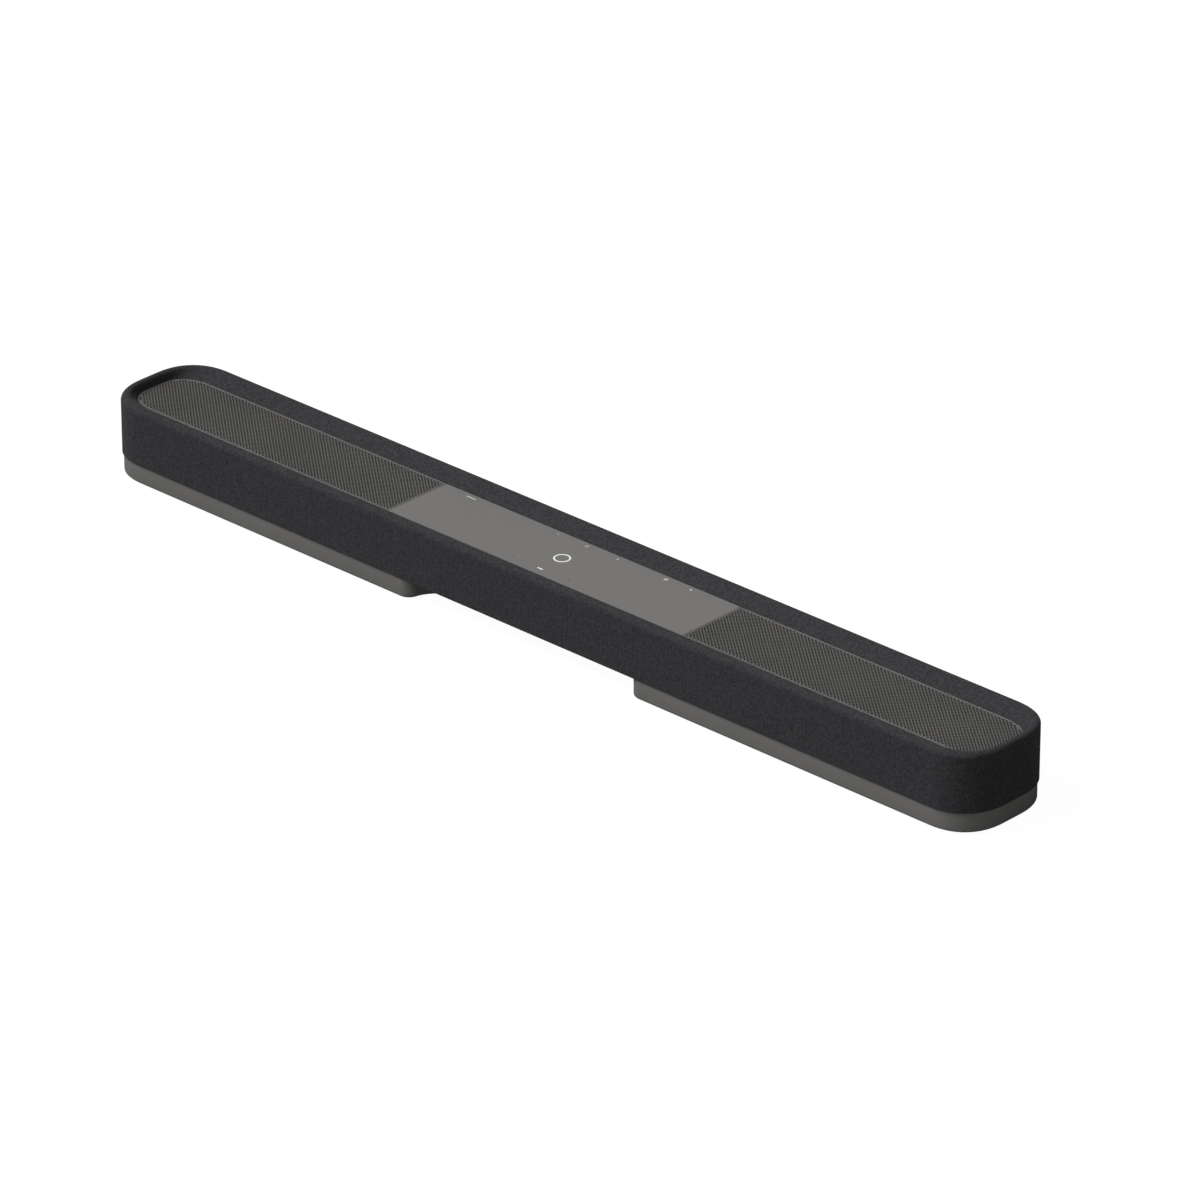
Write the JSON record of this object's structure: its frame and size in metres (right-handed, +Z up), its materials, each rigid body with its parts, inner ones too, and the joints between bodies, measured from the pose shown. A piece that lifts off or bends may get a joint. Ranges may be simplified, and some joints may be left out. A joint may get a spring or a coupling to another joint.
{
  "type": "soundbar",
  "caption": "Long low soundbar: cloth-wrapped cabinet with rounded ends, sunk top with perforated grilles and a touch panel, on two low end bases.",
  "frame": {"origin": "on the surface the bar stands on, under the middle of the bar", "axes": "+X along the length to the listener's right as the front is looked at, +Y to the back, +Z up"},
  "size_m": [1.051, 0.1174, 0.079],
  "materials": {
    "grey_plastic": "fine matt texture, warm grey",
    "panel_plastic": "smooth matt lacquer, warm grey",
    "inner_plastic": "moulded black",
    "socket_plastic": "moulded black, slight gloss",
    "cloth": "tight knitted acoustic cloth, blue-black",
    "grille_metal": "perforated, powder coated warm grey",
    "lens": "translucent off-white",
    "circuit_board": "green solder mask",
    "cable": "flat grey ribbon",
    "aluminium_fins": "extruded, as drawn",
    "pad_rubber": "matt black",
    "basket_plastic": "glass-filled black",
    "magnet_steel": "zinc plated",
    "cone_paper": "coated paper pulp",
    "surround_rubber": "soft matt black"
  },
  "bodies": {
    "root": {"left_base": "grey_plastic", "right_base": "grey_plastic", "control_panel": "panel_plastic", "connector_bridge": "inner_plastic", "bottom_plate": "inner_plastic", "front_wall": "inner_plastic", "back_wall": "inner_plastic", "left_end_frame": "inner_plastic", "right_end_frame": "inner_plastic", "left_speaker_deck": "inner_plastic", "right_speaker_deck": "inner_plastic", "left_bulkhead": "inner_plastic", "right_bulkhead": "inner_plastic", "mains_inlet": "socket_plastic", "optical_socket": "socket_plastic", "display_sockets": "socket_plastic", "service_socket": "socket_plastic", "network_socket": "socket_plastic", "sub_out_socket": "socket_plastic", "fabric_cover": "cloth", "left_grille": "grille_metal", "right_grille": "grille_metal", "centre_mark": "lens", "status_light": "lens", "touch_board": "circuit_board", "power_supply": "circuit_board", "main_board": "circuit_board", "amplifier_board": "circuit_board", "touch_ribbon_cable": "cable", "heat_sink": "aluminium_fins", "left_front_foot_pad": "pad_rubber", "left_back_foot_pad": "pad_rubber", "right_front_foot_pad": "pad_rubber", "right_back_foot_pad": "pad_rubber", "left_woofer_basket": "basket_plastic", "right_woofer_basket": "basket_plastic", "front_left_driver_frame": "basket_plastic", "front_centre_driver_frame": "basket_plastic", "front_right_driver_frame": "basket_plastic", "side_left_driver_frame": "basket_plastic", "side_right_driver_frame": "basket_plastic", "up_left_driver_frame": "basket_plastic", "up_right_driver_frame": "basket_plastic", "left_woofer_magnet": "magnet_steel", "right_woofer_magnet": "magnet_steel", "left_woofer_spider": "cone_paper", "right_woofer_spider": "cone_paper", "left_woofer_surround": "surround_rubber", "right_woofer_surround": "surround_rubber"},
    "left_woofer": {"left_woofer_cone": "cone_paper"},
    "right_woofer": {"right_woofer_cone": "cone_paper"},
    "front_left_driver": {"front_left_driver_cone": "cone_paper"},
    "front_centre_driver": {"front_centre_driver_cone": "cone_paper"},
    "front_right_driver": {"front_right_driver_cone": "cone_paper"},
    "side_left_driver": {"side_left_driver_cone": "cone_paper"},
    "side_right_driver": {"side_right_driver_cone": "cone_paper"},
    "up_left_driver": {"up_left_driver_cone": "cone_paper"},
    "up_right_driver": {"up_right_driver_cone": "cone_paper"}
  },
  "joints": [
    {"name": "left_woofer_stroke", "type": "slide", "parent": "root", "child": "left_woofer", "axis": [0, 0, 1], "range_m": [-0.0045, 0.0045], "stiffness_N_per_m": 1500, "deforming": ["left_woofer_surround", "left_woofer_spider"]},
    {"name": "right_woofer_stroke", "type": "slide", "parent": "root", "child": "right_woofer", "axis": [0, 0, 1], "range_m": [-0.0045, 0.0045], "stiffness_N_per_m": 1500, "deforming": ["right_woofer_surround", "right_woofer_spider"]},
    {"name": "front_left_driver_stroke", "type": "slide", "parent": "root", "child": "front_left_driver", "axis": [0, -1, 0], "range_m": [-0.0018, 0.0018], "stiffness_N_per_m": 900},
    {"name": "front_centre_driver_stroke", "type": "slide", "parent": "root", "child": "front_centre_driver", "axis": [0, -1, 0], "range_m": [-0.0018, 0.0018], "stiffness_N_per_m": 900},
    {"name": "front_right_driver_stroke", "type": "slide", "parent": "root", "child": "front_right_driver", "axis": [0, -1, 0], "range_m": [-0.0018, 0.0018], "stiffness_N_per_m": 900},
    {"name": "side_left_driver_stroke", "type": "slide", "parent": "root", "child": "side_left_driver", "axis": [-1, 0, 0], "range_m": [-0.0018, 0.0018], "stiffness_N_per_m": 900},
    {"name": "side_right_driver_stroke", "type": "slide", "parent": "root", "child": "side_right_driver", "axis": [1, 0, 0], "range_m": [-0.0018, 0.0018], "stiffness_N_per_m": 900},
    {"name": "up_left_driver_stroke", "type": "slide", "parent": "root", "child": "up_left_driver", "axis": [0, 0, 1], "range_m": [-0.0018, 0.0018], "stiffness_N_per_m": 900},
    {"name": "up_right_driver_stroke", "type": "slide", "parent": "root", "child": "up_right_driver", "axis": [0, 0, 1], "range_m": [-0.0018, 0.0018], "stiffness_N_per_m": 900}
  ]
}
